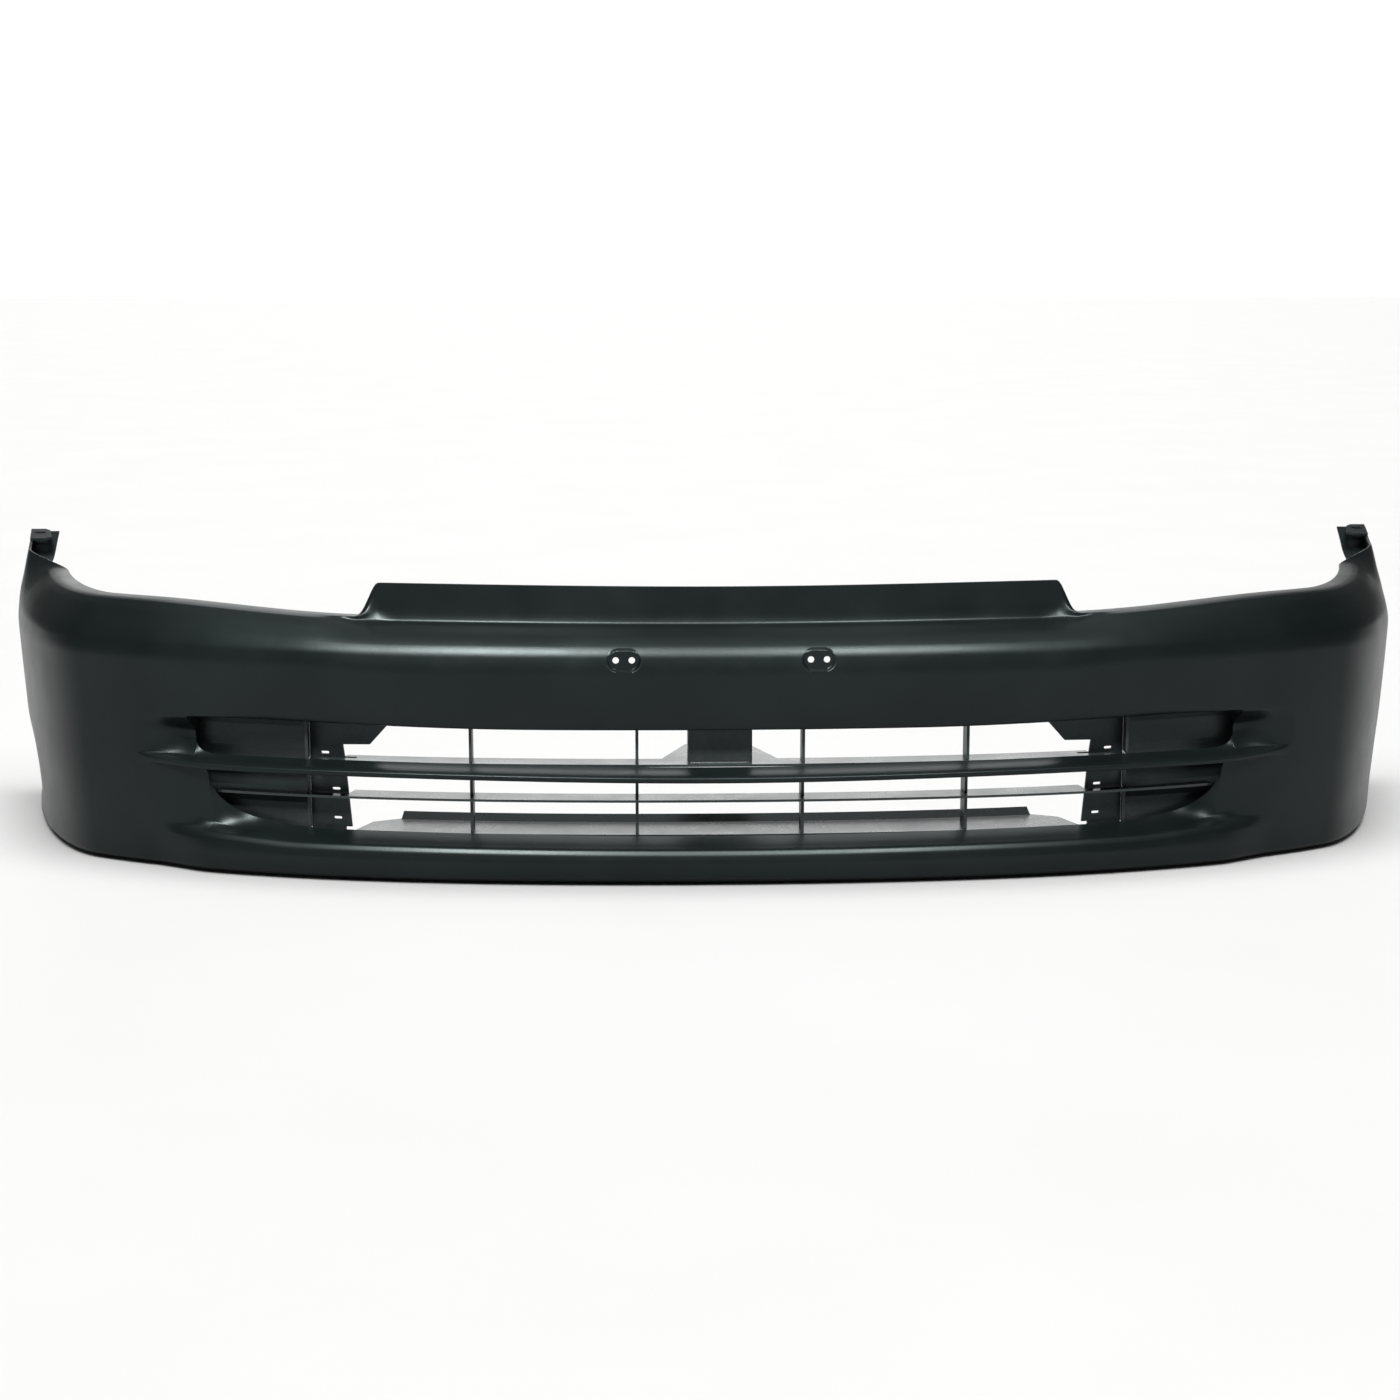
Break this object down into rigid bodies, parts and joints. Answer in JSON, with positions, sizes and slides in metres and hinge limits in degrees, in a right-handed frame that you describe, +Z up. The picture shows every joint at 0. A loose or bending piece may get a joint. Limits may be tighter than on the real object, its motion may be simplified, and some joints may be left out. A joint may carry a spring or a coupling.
{
  "type": "front bumper cover",
  "caption": "Front bumper cover of a compact car: satin moulded skin with two grille openings, middle bar, ribs, slat, side pocket panels and fender tabs.",
  "frame": {"origin": "under the middle of the bounding box, on the plane of the flat bottom return flange", "axes": "+X towards the viewer's right when seen from the front, +Y rearwards, so the nose faces -Y, +Z up"},
  "size_m": [1.6132, 0.5586, 0.3025],
  "materials": {
    "skin": "satin moulded, smooth, primer-ready charcoal",
    "grille": "semi-matt moulded",
    "panel": "fine grained moulded, dark"
  },
  "bodies": {
    "root": {"cover_skin": "skin", "grille_upper_shelf": "grille", "grille_lower_shelf": "grille", "grille_slat": "grille", "centre_stay": "panel", "grille_upper_rib_1": "grille", "grille_upper_rib_2": "grille", "grille_upper_rib_3": "grille", "grille_upper_rib_4": "grille", "grille_upper_rib_5": "grille", "grille_upper_rib_6": "grille", "grille_lower_rib_1": "grille", "grille_lower_rib_2": "grille", "grille_lower_rib_3": "grille", "grille_lower_rib_4": "grille", "grille_lower_rib_5": "grille", "grille_lower_rib_6": "grille", "closing_panel_right": "panel", "closing_panel_left": "panel", "upper_pocket_panel_right": "panel", "upper_pocket_panel_left": "panel", "lower_pocket_panel_right": "panel", "lower_pocket_panel_left": "panel", "fender_tab_right": "skin", "fender_tab_left": "skin"}
  },
  "joints": []
}
